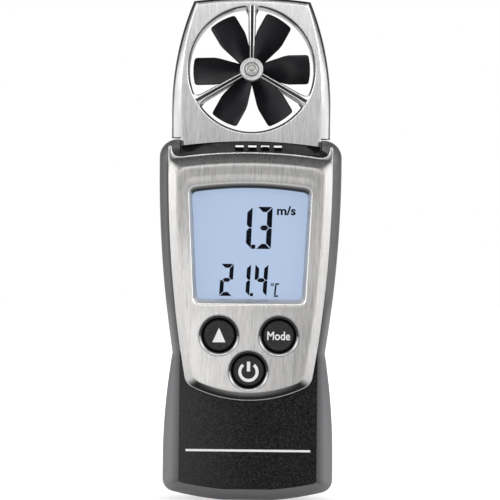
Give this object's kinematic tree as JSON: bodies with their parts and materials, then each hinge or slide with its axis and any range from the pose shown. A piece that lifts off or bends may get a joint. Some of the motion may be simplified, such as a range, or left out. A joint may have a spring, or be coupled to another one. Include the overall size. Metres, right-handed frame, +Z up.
{
  "type": "vane anemometer",
  "caption": "Handheld vane anemometer: an impeller turning in a silver duct head over a dark waisted body with a segment display, press keys and a sliding battery cover.",
  "frame": {"origin": "middle of the flat foot, where the meter stands upright", "axes": "+Z up along the meter, +Y from the display to the back, +X to the right of the display"},
  "size_m": [0.046, 0.025, 0.127],
  "materials": {
    "shell_plastic": "fine textured dark grey plastic",
    "collar_plastic": "black plastic",
    "plate_metal": "brushed along the height",
    "head_metal": "brushed along the height",
    "window_clear": "clear",
    "gasket_black": "matt",
    "lcd_pale": "pale blue liquid crystal cell",
    "holder_plastic": "white plastic",
    "connector_rubber": "matt",
    "backlight_plastic": "white light guide",
    "board_green": "solder resist",
    "chip_black": "moulded",
    "switch_plastic": "moulded",
    "bezel_chrome": "polished",
    "key_black": "satin black",
    "ribbon_amber": "flexible circuit",
    "bearing_metal": "turned",
    "pickup_copper": "wound coil",
    "impeller_black": "glossy black",
    "axle_steel": "ground",
    "cell_wrap": "plain wrap",
    "contact_nickel": "nickel plated",
    "screw_steel": "blackened"
  },
  "bodies": {
    "housing": {"front_shell": "shell_plastic", "rear_shell": "shell_plastic", "face_plate": "plate_metal", "display_window": "window_clear", "window_gasket": "gasket_black", "lcd_panel": "lcd_pale", "lcd_holder": "holder_plastic", "lcd_connector": "connector_rubber", "backlight_panel": "backlight_plastic", "circuit_board": "board_green", "microcontroller": "chip_black", "key_switches": "switch_plastic", "key_bezels": "bezel_chrome", "sensor_collar": "collar_plastic", "air_sensor": "board_green", "sensor_ribbon": "ribbon_amber", "head_front_frame": "head_metal", "head_rear_frame": "head_metal", "front_bearing": "bearing_metal", "rear_bearing": "bearing_metal", "speed_pickup": "pickup_copper", "battery_left": "cell_wrap", "battery_right": "cell_wrap", "battery_terminals": "contact_nickel", "battery_link": "contact_nickel", "housing_screws": "screw_steel", "head_screws": "screw_steel", "board_screws": "screw_steel"},
    "impeller": {"impeller": "impeller_black", "impeller_axle": "axle_steel"},
    "up_key": {"up_key": "key_black"},
    "mode_key": {"mode_key": "key_black"},
    "power_key": {"power_key": "key_black"},
    "battery_cover": {"battery_cover": "shell_plastic"}
  },
  "joints": [
    {"name": "impeller_spin", "type": "hinge", "parent": "housing", "child": "impeller", "pos_m": [0, -0.0004, 0.10883], "axis": [0, 1, 0], "continuous": true},
    {"name": "up_key_press", "type": "slide", "parent": "housing", "child": "up_key", "axis": [0, 1, 0], "range_m": [0, 0.0006], "stiffness_N_per_m": 1500},
    {"name": "mode_key_press", "type": "slide", "parent": "housing", "child": "mode_key", "axis": [0, 1, 0], "range_m": [0, 0.0006], "stiffness_N_per_m": 1500},
    {"name": "power_key_press", "type": "slide", "parent": "housing", "child": "power_key", "axis": [0, 1, 0], "range_m": [0, 0.0006], "stiffness_N_per_m": 1500},
    {"name": "battery_cover_slide", "type": "slide", "parent": "housing", "child": "battery_cover", "axis": [0, 0, -1], "range_m": [0, 0.056]}
  ]
}
